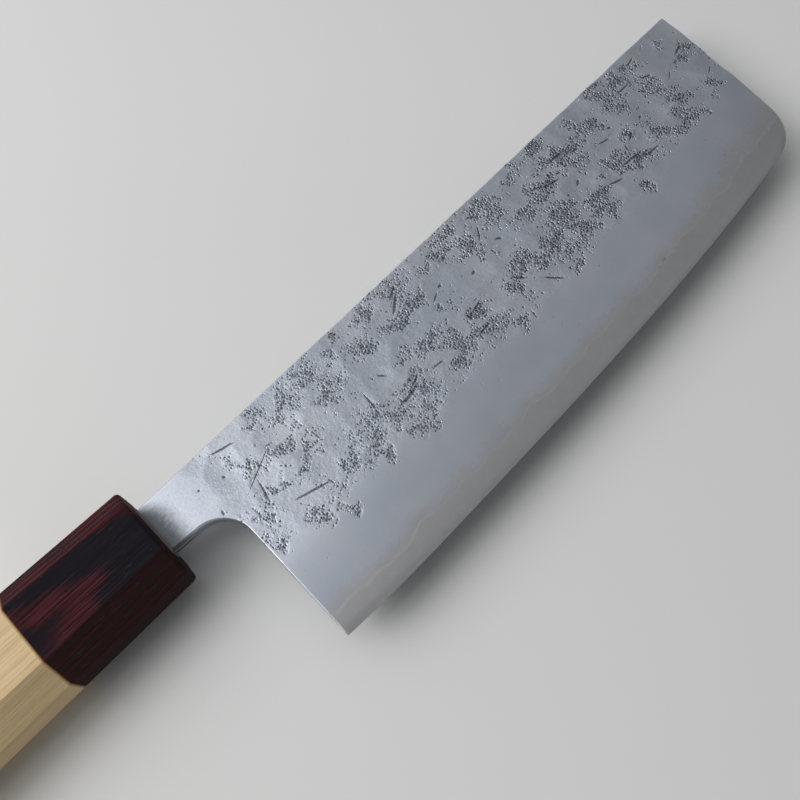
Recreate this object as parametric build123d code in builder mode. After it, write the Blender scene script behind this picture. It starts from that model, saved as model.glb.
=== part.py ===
from build123d import *
from math import cos, radians, sin
import os

# A nakiri knife lying on its side, in millimetres. +X runs from the handle to the blade's front end,
# +Y from the cutting edge to the spine, and +Z up out of the blade's right face. The origin lies under
# the middle of the whole knife, at the level of the surface below its handle.

# Blade, seen from its right face
blade_length = 166.4  # heel to the foremost point of the front end
blade_height = 51.0  # from the spine's end in the ferrule down to the edge's lowest point
spine_height = 6.6  # spine above the handle's axis, at its end in the ferrule
spine_rise = 1.2  # climb of the spine from there to the front end
neck_length = 13.1  # ferrule to heel
neck_height = 12.0  # at the ferrule
neck_flare = 0.8  # how much deeper the neck is where the heel starts
heel_slant = 1.5  # how far the top of the heel stands ahead of its foot
heel_run = 28.0  # from the heel to the edge's lowest point
heel_lift = 0.8  # climb of the edge from there back to the heel
choil_radius = 8.0  # hollow between the neck and the heel
edge_rise = 6.0  # climb of the edge from its lowest point to the foot of the front end
front_slant = 6.3  # how far the foot of the front end stands behind its top
front_bulge = 0.25  # how far the front end bows out of a straight line
front_foot_radius = 11.5
front_top_radius = 0.5

# Blade, through its thickness
neck_thickness = 3.5
front_thickness = 1.8
bevel_height = 20.0  # ground faces, from the edge up
edge_land = 0.2  # thickness left at the cutting edge
spine_ease = 0.25  # small chamfer along the spine
core_thickness = 0.9  # hard layer between the two soft ones
bevel_stations = 6  # places along the rising edge where the ground faces are set out

# Tang, hidden in the handle
neck_seat = 7.0  # how far the full neck reaches into the ferrule
tang_length = 80.0
tang_root_height = 8.0
tang_end_height = 5.0
tang_end_thickness = 2.4

# Handle, tapering octagon
handle_length = 131.0
handle_front_height = 23.4
handle_front_width = 18.0
handle_butt_height = 28.0
handle_butt_width = 20.2
front_corner_cut = 5.25  # legs of the octagon's slanted sides
butt_corner_cut = 5.9
handle_rise = 1.2  # degrees that the handle climbs towards its butt
ferrule_length = 30.2
ferrule_chamfer = 1.0
butt_chamfer = 1.5

# Joint between blade, ferrule and handle
dowel_diameter = 13.0
dowel_end_wall = 9.0  # dowel left behind the tang's end
ferrule_front_wall = 9.0  # ferrule left in front of the dowel
glue_gap = 0.6  # all round the neck and tang
seal_depth = 2.5
seal_bead = 0.45  # how far the seal stands out of the ferrule
seal_round = 0.25

overrun = 2.0  # cutters reach this far past what they cut


def grip_size(behind):
    """Height, width and corner cut of the handle, at a distance behind the ferrule's front face."""
    share = behind / handle_length
    height = handle_front_height + (handle_butt_height - handle_front_height) * share
    width = handle_front_width + (handle_butt_width - handle_front_width) * share
    cut = front_corner_cut + (butt_corner_cut - front_corner_cut) * share
    return height, width, cut


# Reach of the whole knife from the middle of the ferrule's front face
widest = handle_length - butt_chamfer
rise = radians(handle_rise)
front_x = neck_length + blade_length
back_x = handle_length * cos(rise) + (grip_size(handle_length)[0] / 2 - butt_chamfer) * sin(rise)
top_y = widest * sin(rise) + grip_size(widest)[0] / 2 * cos(rise)
edge_y = spine_height - blade_height
low_z = grip_size(widest)[1] / 2

# Home lies in the blade's middle plane, its origin in the middle of the ferrule's front face
home = Plane(origin=((back_x - front_x) / 2, -(top_y + edge_y) / 2, low_z))
grip = home.rotated((0, 0, -handle_rise))
grip_axis = Axis(grip.origin, grip.x_dir)


def across(frame, x):
    """Plane square to the knife's length, its own x towards the spine and its own y up."""
    return Plane(origin=frame.from_local_coords((x, 0, 0)), x_dir=frame.y_dir, z_dir=frame.x_dir)


def octagon_corners(behind):
    """Corners of the handle's outline, going round, at a distance behind the ferrule's front face."""
    height, width, cut = grip_size(behind)
    y = height / 2
    z = width / 2
    quarter = [(y, z - cut), (y - cut, z)]
    upper = quarter + [(-a, b) for a, b in reversed(quarter)]
    lower = [(a, -b) for a, b in reversed(upper)]
    return [grip.from_local_coords((-behind, a, b)) for a, b in upper + lower]


def tapered_bar(front, behind, clearance):
    """Sections of the tang, or of the slot around it, at two distances behind the ferrule's front face."""
    with BuildSketch(across(grip, -front)) as root:
        Rectangle(tang_root_height + 2 * clearance, neck_thickness + 2 * clearance)
    with BuildSketch(across(grip, -behind)) as end:
        Rectangle(tang_end_height + 2 * clearance, tang_end_thickness + 2 * clearance)
    return [root.sketch, end.sketch]


# Landmarks of the blade's outline, in home's own x and y
heel_x = neck_length
lowest_x = heel_x + heel_run
foot_x = front_x - front_slant
neck_y = spine_height - neck_height
choil_x = heel_x + heel_slant
choil_y = neck_y - neck_flare
heel_y = edge_y + heel_lift
foot_y = edge_y + edge_rise


def spine_at(x):
    """Height of the spine at x: a straight climb from its end in the ferrule to the front end."""
    return spine_height + spine_rise * (x + neck_seat) / (front_x + neck_seat)


def edge_at(x):
    """Height of the cutting edge at x: a parabola down from the heel, then a cubic climb."""
    behind = max(lowest_x - x, 0) / heel_run
    ahead = max(x - lowest_x, 0) / (foot_x - lowest_x)
    return edge_y + heel_lift * behind**2 + edge_rise * ahead**3


def half_thickness_at(x):
    """Half the thickness of the flat part of the blade, which thins evenly from heel to front end."""
    share = max(x - heel_x, 0) / (front_x - heel_x)
    return (neck_thickness + (front_thickness - neck_thickness) * share) / 2


def bevel_section(x, side):
    """What grinding takes off one face at x: all outside a straight line from the edge up to the flat."""
    edge = edge_at(x)
    slope = (half_thickness_at(x) - edge_land / 2) / bevel_height
    low = edge - overrun
    high = edge + bevel_height + overrun
    outside = neck_thickness / 2 + overrun
    with BuildSketch(across(home, x)) as section:
        with BuildLine():
            Polyline(
                (low, side * (edge_land / 2 - overrun * slope)),
                (high, side * (half_thickness_at(x) + overrun * slope)),
                (high, side * outside),
                (low, side * outside),
                close=True,
            )
        make_face()
    return section.sketch


# The forging before its layers are told apart: blade, neck and tang
with BuildPart() as forging:
    with BuildSketch(home):
        with BuildLine():
            third = (foot_x - lowest_x) / 3
            front_middle = ((front_x + foot_x) / 2 + front_bulge, (spine_at(front_x) + foot_y) / 2)
            Line((-neck_seat, spine_height), (front_x, spine_at(front_x)))
            ThreePointArc((front_x, spine_at(front_x)), front_middle, (foot_x, foot_y))
            Bezier((foot_x, foot_y), (foot_x - third, edge_y), (lowest_x + third, edge_y), (lowest_x, edge_y))
            Bezier((lowest_x, edge_y), ((lowest_x + heel_x) / 2, edge_y), (heel_x, heel_y))
            Polyline(
                (heel_x, heel_y),
                (choil_x, choil_y),
                (0, neck_y),
                (-neck_seat, neck_y),
                (-neck_seat, spine_height),
            )
        make_face()
    extrude(amount=neck_thickness / 2, both=True)
    for corner, radius in (
        ((choil_x, choil_y), choil_radius),
        ((foot_x, foot_y), front_foot_radius),
        ((front_x, spine_at(front_x)), front_top_radius),
    ):
        place = home.from_local_coords((*corner, 0))
        fillet(forging.edges().filter_by(Axis.Z).sort_by_distance(place)[0], radius)
    thinning = (neck_thickness - front_thickness) / 2
    for side in (1, -1):
        flat = Plane(
            origin=home.from_local_coords((heel_x, 0, side * neck_thickness / 2)),
            x_dir=(front_x - heel_x, 0, -side * thinning),
            z_dir=(thinning, 0, side * (front_x - heel_x)),
        )
        split(bisect_by=flat, keep=Keep.BOTTOM)
        spine_way = Vector(front_x - heel_x, spine_at(front_x) - spine_at(heel_x), -side * thinning)
        ease = Plane(
            origin=home.from_local_coords((heel_x, spine_at(heel_x) - spine_ease, side * neck_thickness / 2)),
            x_dir=spine_way,
            z_dir=spine_way.cross(Vector(0, side, -1)),
        )
        split(bisect_by=ease, keep=Keep.BOTTOM)
    step = (front_x + overrun - lowest_x) / (bevel_stations - 1)
    stations = [0, heel_x, (heel_x + lowest_x) / 2]
    stations += [lowest_x + step * index for index in range(bevel_stations)]
    for side in (1, -1):
        loft([bevel_section(x, side) for x in stations], ruled=True, mode=Mode.SUBTRACT)
    loft(tapered_bar(neck_seat - overrun, tang_length, 0), ruled=True)

# The slot that takes neck and tang, cut through ferrule and dowel
with BuildPart() as slot:
    with BuildSketch(home):
        with BuildLine():
            Polyline(
                (-neck_seat - glue_gap, neck_y - glue_gap),
                (overrun, neck_y - glue_gap),
                (overrun, spine_height + glue_gap),
                (-neck_seat - glue_gap, spine_height + glue_gap),
                close=True,
            )
        make_face()
    extrude(amount=neck_thickness / 2 + glue_gap, both=True)
    loft(tapered_bar(neck_seat, tang_length + glue_gap, glue_gap), ruled=True)

# Hard core layer, bare along the edge where the bevels cut into it
with BuildPart() as core_steel:
    add(forging.part)
    split(bisect_by=home.offset(core_thickness / 2), keep=Keep.BOTTOM)
    split(bisect_by=home.offset(-core_thickness / 2), keep=Keep.TOP)

# Soft layers forge-welded to both faces of the core
with BuildPart() as cladding_right:
    add(forging.part)
    split(bisect_by=home.offset(core_thickness / 2), keep=Keep.TOP)

with BuildPart() as cladding_left:
    add(forging.part)
    split(bisect_by=home.offset(-core_thickness / 2), keep=Keep.BOTTOM)

# Ferrule and handle body are planed to eight facets together, so their facets run on across the joint
with BuildPart() as handle_blank:
    with BuildSketch(across(grip, 0)):
        Rectangle(handle_butt_height, handle_butt_width)
    extrude(amount=-handle_length)
    front_corners = octagon_corners(0)
    butt_corners = octagon_corners(handle_length)
    for index, corner in enumerate(front_corners):
        side_edge = front_corners[index - 1] - corner
        long_edge = butt_corners[index] - corner
        facet = Plane(origin=corner, x_dir=long_edge, z_dir=side_edge.cross(long_edge))
        split(bisect_by=facet, keep=Keep.BOTTOM)
    chamfer(handle_blank.faces().sort_by(grip_axis)[-1].edges(), ferrule_chamfer)
    chamfer(handle_blank.faces().sort_by(grip_axis)[0].edges(), butt_chamfer)

# Dowel glued into both, slotted for the tang
with BuildPart() as dowel_rod:
    with BuildSketch(across(grip, -ferrule_front_wall)):
        Circle(dowel_diameter / 2)
    extrude(amount=ferrule_front_wall - tang_length - dowel_end_wall)

with BuildPart() as dowel:
    add(dowel_rod.part)
    add(slot.part, mode=Mode.SUBTRACT)

# Dark collar at the front of the handle
with BuildPart() as ferrule:
    add(handle_blank.part)
    split(bisect_by=across(grip, -ferrule_length), keep=Keep.TOP)
    add(dowel_rod.part, mode=Mode.SUBTRACT)
    add(slot.part, mode=Mode.SUBTRACT)

# Pale wooden body behind it
with BuildPart() as handle_body:
    add(handle_blank.part)
    split(bisect_by=across(grip, -ferrule_length), keep=Keep.BOTTOM)
    add(dowel_rod.part, mode=Mode.SUBTRACT)

# Adhesive that holds the tang in its slot
with BuildPart() as tang_adhesive:
    add(slot.part)
    split(bisect_by=across(grip, -seal_depth), keep=Keep.BOTTOM)
    add(forging.part, mode=Mode.SUBTRACT)

# Bead that closes the slot's mouth round the neck
with BuildPart() as mouth_seal:
    add(slot.part)
    split(bisect_by=across(grip, -seal_depth), keep=Keep.TOP)
    split(bisect_by=across(grip, seal_bead), keep=Keep.BOTTOM)
    fillet(mouth_seal.faces().sort_by(grip_axis)[-1].edges(), seal_round)
    add(forging.part, mode=Mode.SUBTRACT)

core_steel.part.label = "core_steel"
cladding_right.part.label = "cladding_right"
cladding_left.part.label = "cladding_left"
ferrule.part.label = "ferrule"
handle_body.part.label = "handle_body"
dowel.part.label = "dowel"
tang_adhesive.part.label = "tang_adhesive"
mouth_seal.part.label = "mouth_seal"

os.makedirs("parts", exist_ok=True)
export_step(core_steel.part, "parts/core_steel.step")
export_step(cladding_right.part, "parts/cladding_right.step")
export_step(cladding_left.part, "parts/cladding_left.step")
export_step(ferrule.part, "parts/ferrule.step")
export_step(handle_body.part, "parts/handle_body.step")
export_step(dowel.part, "parts/dowel.step")
export_step(tang_adhesive.part, "parts/tang_adhesive.step")
export_step(mouth_seal.part, "parts/mouth_seal.step")
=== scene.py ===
from math import cos, pi, radians, sin, tan

import bpy
import numpy as np
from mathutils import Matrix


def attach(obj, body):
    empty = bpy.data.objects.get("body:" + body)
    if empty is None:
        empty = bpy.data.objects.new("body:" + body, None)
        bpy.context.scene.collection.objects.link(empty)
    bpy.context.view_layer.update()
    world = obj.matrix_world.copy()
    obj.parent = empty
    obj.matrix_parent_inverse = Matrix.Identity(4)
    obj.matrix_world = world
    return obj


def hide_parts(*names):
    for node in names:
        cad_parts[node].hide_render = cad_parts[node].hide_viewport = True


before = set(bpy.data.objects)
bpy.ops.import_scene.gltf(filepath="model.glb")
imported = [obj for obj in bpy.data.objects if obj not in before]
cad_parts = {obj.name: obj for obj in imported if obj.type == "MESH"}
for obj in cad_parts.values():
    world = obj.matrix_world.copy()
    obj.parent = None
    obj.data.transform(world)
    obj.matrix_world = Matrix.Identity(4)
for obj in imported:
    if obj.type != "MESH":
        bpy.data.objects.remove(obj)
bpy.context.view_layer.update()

# A nakiri knife lying on its left side. Shapes are worked out in millimetres in the knife's home
# frame: its origin is the middle of the ferrule's front face, x runs to the blade's front end,
# y to the spine and z out of the right face. In the scene that frame is only moved and scaled
# to metres.
mm = 0.001

# Blade, seen from its right face
blade_length = 166.4
blade_height = 51.0
spine_height = 6.6
spine_rise = 1.2
neck_length = 13.1
neck_height = 12.0
neck_flare = 0.8
heel_slant = 1.5
heel_run = 28.0
heel_lift = 0.8
choil_radius = 8.0
edge_rise = 6.0
front_slant = 6.3
front_bulge = 0.25
front_foot_radius = 11.5
front_top_radius = 0.5
neck_seat = 7.0

# Blade, through its thickness
neck_thickness = 3.5
front_thickness = 1.8
bevel_height = 20.0
edge_land = 0.2
keen_land = 0.05  # thickness left by sharpening
keen_slope = 0.12  # half thickness gained per millimetre over the sharpened rim
border_ease = 0.3  # rounding of every border but the cutting edge
layer_gap = 0.018  # step where the soft layer ends on the core
bare_height_heel = 5.0  # core laid bare above the edge, at the heel and at the front
bare_height_front = 6.0
shoulder_blend = 0.2  # softness of the line where the ground face meets the flat
rim_blend = 0.012  # the same where the sharpened rim begins
hand_waver = 0.012  # unevenness of the ground face
hand_fade = (1.0, 8.0)  # heights above the edge between which the unevenness grows
border_share = 0.45  # most of the half thickness that a rounded border may take away

# Line where the soft layer ends on the core
scallop_length = 11.5
scallop_height = 0.8
scallop_middle = 0.6
wander_height = 0.7
heel_fade = 6.0  # distance from each end of the edge over which the wander dies out
front_fade = 9.0

# Handle
handle_length = 131.0
handle_front_height = 23.4
handle_front_width = 18.0
handle_butt_height = 28.0
handle_butt_width = 20.2
front_corner_cut = 5.25
butt_corner_cut = 5.9
handle_rise = 1.2
ferrule_length = 30.2
ferrule_chamfer = 1.0
butt_chamfer = 1.5
facet_round = 0.45  # rounding between neighbouring facets
joint_ease = 0.14  # fine groove where the ferrule meets the wood
dowel_diameter = 13.0
dowel_back = 89.0
ferrule_front_wall = 9.0
glue_gap = 0.6
mouth_power = 14  # power of the superellipse that the mouth for the neck is cut to

# Landmarks of the blade's outline
front_x = neck_length + blade_length
edge_y = spine_height - blade_height
neck_y = spine_height - neck_height
heel_x = neck_length
lowest_x = heel_x + heel_run
foot_x = front_x - front_slant
foot_y = edge_y + edge_rise
choil_x = heel_x + heel_slant
choil_y = neck_y - neck_flare

# Reach of the knife from the home frame's origin, whose place is the same as in the CAD model
rise = radians(handle_rise)
widest = handle_length - butt_chamfer
widest_share = widest / handle_length
widest_height = handle_front_height + (handle_butt_height - handle_front_height) * widest_share
widest_width = handle_front_width + (handle_butt_width - handle_front_width) * widest_share
back_x = handle_length * cos(rise) + (handle_butt_height / 2 - butt_chamfer) * sin(rise)
top_y = widest * sin(rise) + widest_height / 2 * cos(rise)
home = np.array(((back_x - front_x) / 2, -(top_y + edge_y) / 2, widest_width / 2))

# Camera, at the photograph's place and angle
camera_place = (-13.92, -57.79, 191.93)
camera_turn = (21.551, 2.477, -46.124)
camera_lens = 40.11
camera_sensor = 36.0

# Mesh of the blade
pitch = 0.6  # between rows and between columns
fine_pitch = 0.5  # the same on the face that carries most of the detail
close_rows = np.array((0.0, 0.08, 0.2, 0.38))  # distances of the rows next to a border
border_band = 0.65  # where the even rows begin
arc_points = 24  # on the outline's round corners
keen_points = 9  # of the front foot's arc, which the sharpened rim follows
top_points = 13  # on the small round at the front end's top
top_middle = 6  # its middle point, where the top line takes over from the front one
front_points = 60
lean_power = 24  # a high power keeps the lean of the columns close to the front border
sharp_angle = 38  # creases steeper than this stay sharp

# Mesh of the handle
side_steps = 6
corner_steps = 5
bend_steps = 7
ferrule_rings = 24
grip_rings = 60

# Where the tapped surface ends above the ground face, at the middle of the blade
rough_base = -24.6
rough_lift = 7.0  # how much higher that limit lies at both ends
rough_middle = 82.0
rough_reach = 86.0

# Patches of close pits on the right face: middle x, y, half length, half height, turn in degrees
pit_patches = (
    (31.2, 4.0, 2.0, 3.2, 10), (45.0, 3.4, 4.6, 3.6, 0), (47.5, -3.5, 3.6, 4.2, 20),
    (38.0, 1.0, 4.5, 2.2, 0), (22.6, -3.2, 1.9, 3.4, 30), (30.5, -5.6, 5.0, 1.4, 6),
    (25.6, -12.0, 3.0, 1.3, -25), (34.0, -11.0, 2.6, 2.1, 0), (18.0, -14.2, 2.0, 2.2, 0),
    (17.0, -19.8, 2.8, 1.9, 0), (27.0, -22.3, 3.0, 2.3, 0), (32.0, -26.2, 2.2, 1.2, -35),
    (37.8, -19.2, 6.4, 2.4, 22), (44.6, -22.0, 5.0, 1.8, 6), (48.6, -15.8, 3.6, 3.8, 0),
    (53.5, -19.5, 4.5, 2.0, -15), (57.0, -24.6, 4.8, 2.4, 0), (60.5, -20.0, 5.5, 2.6, 25),
    (60.5, -16.0, 4.6, 1.7, 8), (55.4, 3.6, 1.7, 2.3, 0), (60.0, -1.5, 4.0, 3.0, 0),
    (66.2, 4.6, 5.0, 2.3, 10), (75.8, 4.2, 5.0, 3.3, 0), (72.2, -2.4, 5.2, 3.8, 15),
    (69.5, -11.6, 6.2, 2.3, -10), (75.2, -15.8, 4.2, 3.0, -30), (73.5, -20.3, 2.8, 2.0, 0),
    (87.5, 2.0, 4.6, 1.6, -6), (92.2, 5.2, 4.2, 2.2, 0), (81.2, -9.0, 2.6, 1.6, 30),
    (83.5, -14.6, 3.8, 2.2, 10), (83.4, -19.2, 4.8, 2.2, -5), (88.2, -23.2, 2.2, 2.2, 20),
    (95.4, -1.4, 3.6, 2.7, 35), (96.0, -5.8, 2.6, 1.5, 0), (99.6, -13.4, 3.6, 3.6, 0),
    (93.2, -17.4, 2.6, 3.2, 0), (103.6, 4.6, 5.0, 3.0, -15), (104.8, 0.2, 2.4, 3.2, 0),
    (113.0, -5.2, 7.2, 2.3, 5), (107.6, -16.0, 5.6, 3.8, 25), (110.5, -20.4, 4.6, 2.3, 0),
    (116.2, -12.2, 4.2, 5.2, -15), (118.0, 4.0, 2.8, 2.8, 0), (107.8, -24.2, 1.7, 1.4, 0),
    (119.5, -3.8, 5.6, 2.2, -10), (125.2, 5.3, 3.8, 2.0, 15), (127.5, 0.0, 6.5, 1.8, -5),
    (131.0, -3.6, 4.0, 4.4, 30), (126.2, -14.4, 3.8, 2.8, 20), (123.6, -18.8, 5.0, 2.0, 0),
    (116.0, -19.0, 4.2, 2.8, 20), (138.8, 0.6, 2.6, 4.6, 35), (136.0, -11.4, 6.0, 2.2, 5),
    (146.0, -9.2, 3.2, 1.6, 20), (141.0, -16.2, 4.8, 1.7, -8), (136.4, -21.6, 2.7, 1.2, 40),
    (148.6, 4.4, 2.7, 3.6, 0), (149.6, -1.4, 3.8, 2.8, -25), (156.6, 2.8, 5.4, 3.0, 0),
    (159.8, -4.6, 3.0, 4.4, 0), (160.6, -10.6, 3.0, 4.2, 0), (150.2, -13.6, 3.4, 3.6, 0),
    (154.2, -17.0, 4.0, 1.6, 10), (160.2, -17.0, 3.6, 2.7, 20), (171.6, 3.4, 2.0, 1.8, 0),
    (170.0, -15.0, 2.0, 2.8, 0), (174.2, -3.6, 2.6, 2.6, 30),
)

# Straight gouges on the right face: start x, y, end x, y, width
gouges = (
    (18.4, 4.5, 25.6, 2.6, 0.55), (24.1, -15.9, 34.2, -19.0, 0.6), (18.6, -8.2, 30.2, -2.8, 0.28),
    (22.8, -6.4, 20.9, -13.4, 0.5), (12.9, -6.5, 12.4, -7.9, 0.6), (38.0, -7.8, 38.1, -10.6, 0.35),
    (51.9, -9.0, 51.0, -15.5, 0.6), (54.8, -17.6, 61.2, -17.3, 0.8),
    (59.6, -16.6, 64.0, -15.1, 0.7), (66.1, -16.5, 70.1, -17.2, 0.5), (69.4, -1.8, 75.0, 2.7, 0.9),
    (71.5, 1.6, 76.0, 4.2, 0.5), (78.2, -6.0, 81.4, -4.2, 0.5), (82.4, -3.8, 83.4, -3.6, 1.0),
    (81.2, -12.6, 81.6, -15.8, 0.8), (81.8, -14.0, 87.2, -12.8, 0.5),
    (91.5, -25.8, 92.2, -23.0, 0.6), (89.8, -7.2, 91.4, -6.8, 0.8), (95.2, -14.0, 98.2, -17.4, 0.7),
    (100.0, -19.2, 104.3, -24.2, 0.7), (97.6, -3.0, 100.8, 1.2, 0.6), (99.6, 4.2, 102.2, 3.0, 0.5),
    (100.4, -4.6, 102.2, -5.8, 0.8), (78.6, -18.8, 84.6, -18.2, 0.5),
    (115.6, -1.9, 119.2, -3.2, 0.7), (118.6, -3.8, 124.4, -5.2, 0.5),
    (123.8, 0.0, 130.8, -0.5, 0.8), (130.8, -2.2, 133.8, -2.4, 0.7), (137.0, 1.0, 138.6, 3.4, 0.9),
    (137.0, -5.3, 141.4, -6.4, 0.55), (135.2, -13.6, 144.6, -14.5, 0.75),
    (141.6, -15.9, 148.2, -16.5, 0.7), (129.3, -14.6, 134.4, -16.3, 0.7),
    (135.4, -22.0, 137.6, -20.4, 0.9), (124.6, -9.5, 126.7, -8.3, 0.8),
    (142.4, -4.2, 143.8, -4.4, 0.8), (142.8, -10.6, 146.2, -9.0, 0.5),
    (152.0, 0.8, 157.2, 0.6, 0.7), (160.2, -0.6, 163.2, -2.0, 0.7), (160.8, 4.3, 164.4, 5.2, 0.6),
    (171.2, -2.5, 175.6, -1.1, 0.7), (171.8, -12.6, 176.0, -10.4, 0.4),
    (164.0, -6.5, 167.2, -4.2, 0.4), (149.8, -8.0, 151.6, -7.5, 0.7), (12.0, 0.2, 12.6, 0.2, 0.6),
    (17.6, -1.4, 18.4, -1.4, 0.8), (121.0, -9.6, 121.9, -9.6, 0.8), (169.4, -3.8, 170.3, -3.8, 0.8),
    (102.2, -9.3, 102.8, -9.3, 0.6), (109.4, -10.0, 110.2, -10.0, 0.6),
    (56.8, -8.8, 58.6, -10.6, 0.5),
)

face_seeds = {"right": 4, "left": 9}

# Patches and gouges of the left face: least and greatest sizes, and the spread of their turns
left_patch_count = 66
left_patch_sizes = ((1.8, 1.3), (6.0, 3.8))
left_patch_turn = 18
left_gouge_count = 40
left_gouge_length = (1.5, 9)
left_gouge_width = (0.4, 0.85)
left_gouge_turn = 22

# Relief of the tapped surface
dent_spacing = 8.4
dent_row_share = 0.85  # spacing up the blade, as a share of the spacing along it
dent_lowest = -30.0
dent_margin = 6.0
dent_jitter = 2.8
dent_reach = (3.8, 7.0)
dent_depth = (0.07, 0.24)
dent_growth = 0.7  # how much deeper the dents are towards the front end
dent_growth_span = (60.0, 130.0)  # along the blade, where they grow
dent_start = (9.0, 20.0)  # along the neck, where they set in
dent_fade = (-1.5, 2.5)  # heights round the limit of the tapped surface where they end
dent_among_pits = 0.75  # how much shallower they are in a full patch of pits
patch_depth = 0.03
lump_depth = 0.035
patch_bend = (2.4, 1.8)  # how far waves shift a patch along the blade and up it
patch_ragged = 0.22
patch_reach = 1.33  # radius at which a patch ends, as a share of its own
patch_full = 0.95  # distance inside that end over which its pits come to stand closest
gouge_dip = 0.06
gouge_brim = 1.25  # where the dip begins, as a share of a gouge's half size
gouge_band = 1.4  # a gouge's own coordinates are kept this far round it
far_share = 9.0  # stands for a place in no gouge

# Fields that the finishes read
rim_span = (0.3, 2.6)  # distances from the edge between which the lighter rim fades
tapped_blend = 1.0  # half the height over which the tapped surface ends
tapped_start = (10.0, 16.0)  # along the neck, where it sets in
seam_reach = 5.0  # height above the layer line over which the soft layer thins out
seam_growth = 8.0  # how much more that is towards the front end
seam_span = (120.0, 172.0)  # along the blade, where it grows

# Colours, as linear red, green and blue
steel_cool = (0.455, 0.51, 0.59)
steel_even = (0.50, 0.51, 0.555)
steel_thin = (0.445, 0.447, 0.465)
painted_pit_shade = (0.040, 0.050, 0.068)
core_cool = (0.42, 0.425, 0.445)
core_warm = (0.445, 0.438, 0.442)
sheet_black = (0.006, 0.006, 0.008)
sheet_grey = (0.022, 0.018, 0.024)
sheet_brown = (0.040, 0.022, 0.018)
sheet_deep_red = (0.030, 0.010, 0.012)
sheet_red = (0.088, 0.022, 0.027)
sheet_bright_red = (0.15, 0.010, 0.011)
sheet_dust = (0.13, 0.075, 0.075)
wood_honey = (0.74, 0.545, 0.30)
wood_pale = (0.80, 0.615, 0.37)
wood_ring = (0.60, 0.41, 0.19)
wood_fibre = (0.50, 0.34, 0.16)
wood_pore = (0.32, 0.20, 0.09)
wood_stain = (0.26, 0.10, 0.03)
dowel_dark = (0.60, 0.46, 0.28)
dowel_pale = (0.74, 0.60, 0.42)
resin_dark = (0.66, 0.55, 0.34)
resin_pale = (0.76, 0.66, 0.46)
bead_dark = (0.13, 0.115, 0.105)
bead_pale = (0.22, 0.195, 0.175)
floor_low = (0.78, 0.78, 0.77)
floor_high = (0.82, 0.82, 0.81)
pale_surround = (0.72, 0.725, 0.73)  # far floor, and the surround at the horizon
overhead_grey = (0.15, 0.155, 0.16)
sky_tint = (0.95, 0.97, 1.0)


def length_of(path):
    """Length of a line of points: the sum of the distances from each to the next."""
    return np.linalg.norm(np.diff(path, axis=0), axis=1).sum()


def along(path, distances):
    """Points at the given distances along a line of points, straight between its neighbours."""
    reached = np.concatenate([[0], np.cumsum(np.linalg.norm(np.diff(path, axis=0), axis=1))])
    return np.stack([np.interp(distances, reached, path[:, axis]) for axis in (0, 1)], axis=-1)


def corner_arc(before, corner, after, radius, count=arc_points):
    """Arc that rounds a corner. Its middle lies on the line that halves the corner, at radius over
    the sine of the half angle, and it runs between the points where it touches the two sides."""
    before, corner, after = (np.asarray(point, float) for point in (before, corner, after))
    back = (before - corner) / np.linalg.norm(before - corner)
    on = (after - corner) / np.linalg.norm(after - corner)
    half = np.arccos(back @ on) / 2
    middle = corner + (back + on) / np.linalg.norm(back + on) * radius / sin(half)
    start = corner + back * radius / tan(half) - middle
    end = corner + on * radius / tan(half) - middle
    whole = pi - 2 * half
    swing = np.linspace(0, whole, count)[:, None]
    return middle + (start * np.sin(whole - swing) + end * np.sin(swing)) / sin(whole)


def spine_at(x):
    """Height of the spine: a straight climb from its end in the ferrule to the front end."""
    return spine_height + spine_rise * (x + neck_seat) / (front_x + neck_seat)


def edge_at(x):
    """Height of the cutting edge: a parabola down from the heel to the lowest point, then a climb
    with the cube of the distance."""
    behind = np.maximum(lowest_x - x, 0) / heel_run
    ahead = np.maximum(x - lowest_x, 0) / (foot_x - lowest_x)
    return edge_y + heel_lift * behind ** 2 + edge_rise * ahead ** 3


def front_at(y):
    """The front end's x at a height: a straight slant with a parabola's bulge added."""
    share = (spine_at(front_x) - y) / (spine_at(front_x) - foot_y)
    return front_x - front_slant * share + 4 * front_bulge * share * (1 - share)


def smooth_step(value, low, high):
    """0 up to low, 1 from high on, and between them three times the share squared less twice its
    cube."""
    share = np.clip((value - low) / (high - low), 0, 1)
    return share * share * (3 - 2 * share)


def waves(x, lengths, seed):
    """Mean of sines of the given wave lengths, with phases drawn from a seed."""
    phases = np.random.default_rng(seed).uniform(0, 2 * pi, len(lengths))
    sines = (np.sin(2 * pi * x / length + phase) for length, phase in zip(lengths, phases))
    return sum(sines) / len(lengths)


def layer_line(x, side):
    """Height at which the soft layer ends: the edge, the bare height and a scalloped wander that
    dies out at both ends of the edge."""
    share = np.clip((x - heel_x) / blade_length, 0, 1)
    bare = bare_height_heel + (bare_height_front - bare_height_heel) * share
    shifted = x + 2 * waves(x, (31.0, 47.0), 2)
    scallops = np.abs(np.sin(pi * shifted / scallop_length)) - scallop_middle
    uneven = waves(x + (0 if side == "right" else 60), (7.0, 17.0, 29.0), 7)
    wander = scallop_height * scallops + wander_height * uneven
    wander = wander * smooth_step(x, heel_x, heel_x + heel_fade)
    return edge_at(x) + bare + wander * smooth_step(-x, -foot_x, front_fade - foot_x)


def flat_half(x):
    """Half the thickness of the blade's flat part, which thins evenly from heel to front end."""
    share = np.clip((x - heel_x) / blade_length, 0, 1)
    return (neck_thickness + (front_thickness - neck_thickness) * share) / 2


def bevel_slope(x):
    """Half thickness that the ground face gains per millimetre of height."""
    return (flat_half(x) - edge_land / 2) / bevel_height


def rough_limit(x):
    """Lowest height of the tapped surface: a shallow parabola along the blade, with small waves."""
    share = (x - rough_middle) / rough_reach
    return rough_base + rough_lift * share ** 2 + waves(x, (13.0, 21.0, 8.0), 12)


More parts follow.
